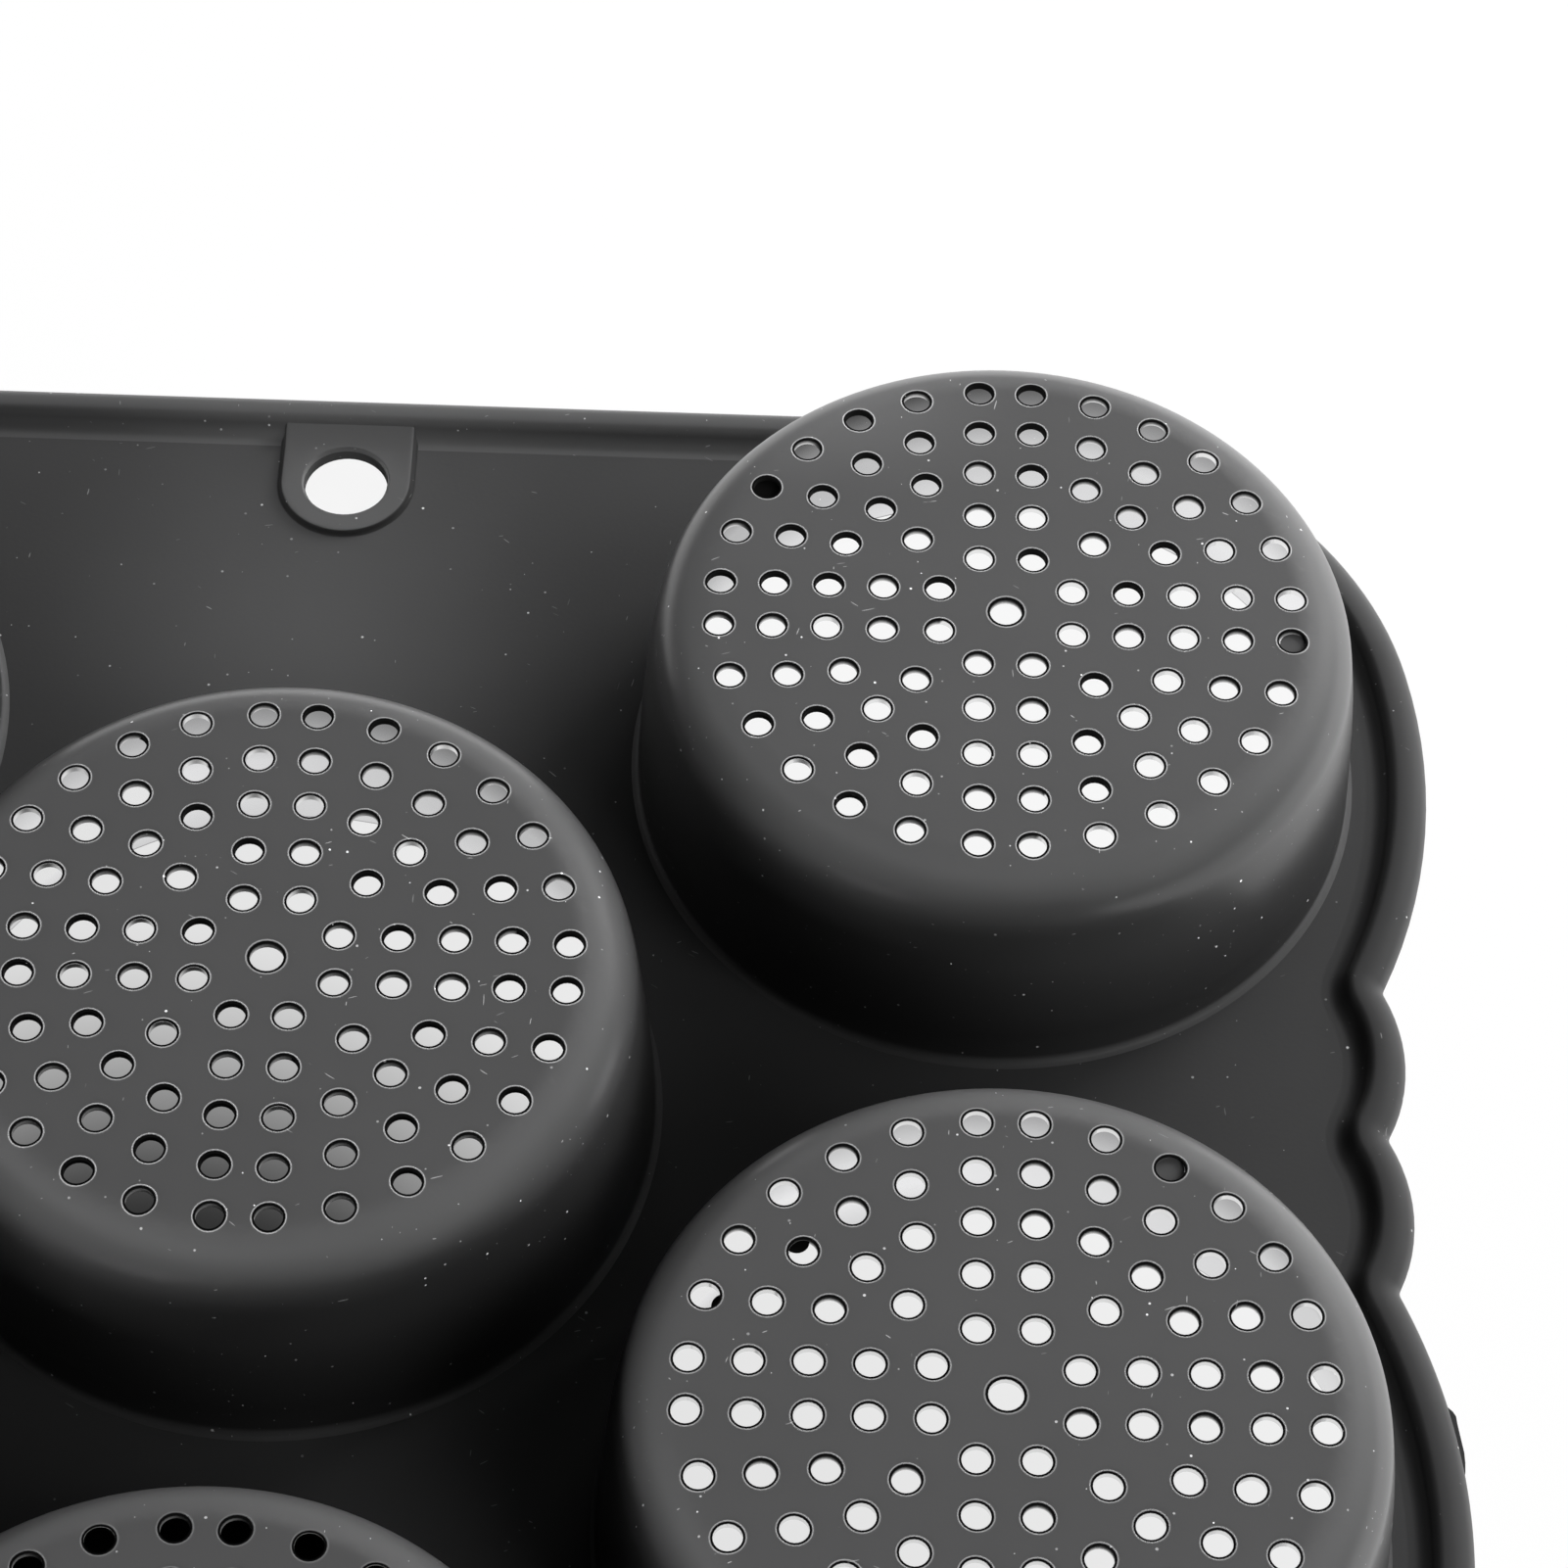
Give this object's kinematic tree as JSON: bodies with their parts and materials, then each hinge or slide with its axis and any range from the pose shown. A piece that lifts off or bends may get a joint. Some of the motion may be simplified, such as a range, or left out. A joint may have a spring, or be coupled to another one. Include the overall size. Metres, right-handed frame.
{
  "type": "silicone hamburger bun mould",
  "caption": "Black silicone baking mould: round drafted cups with flat, perforated floors, joined by a thin web with a raised, scalloped rim and a hanging tab.",
  "frame": {"origin": "middle of the plane that the rim and the web lie on; the mould lies upside down, as pictured, so its cups' floors face up", "axes": "+Z from the rim's plane towards the cups' floors, +Y along the columns of cups towards the end with the hanging tab, +X across the columns"},
  "size_m": [0.3324, 0.3912, 0.0393],
  "materials": {
    "silicone": "matt black moulded silicone with a faint sheen"
  },
  "bodies": {
    "root": {"web_sheet": "silicone", "rim_bead": "silicone", "hanging_tab": "silicone", "cup_wall_left_front": "silicone", "cup_wall_left_centre": "silicone", "cup_wall_left_back": "silicone", "cup_wall_middle_front": "silicone", "cup_wall_middle_back": "silicone", "cup_wall_right_front": "silicone", "cup_wall_right_centre": "silicone", "cup_wall_right_back": "silicone", "cup_floor_left_front": "silicone", "cup_floor_left_centre": "silicone", "cup_floor_left_back": "silicone", "cup_floor_middle_front": "silicone", "cup_floor_middle_back": "silicone", "cup_floor_right_front": "silicone", "cup_floor_right_centre": "silicone", "cup_floor_right_back": "silicone"}
  },
  "joints": []
}
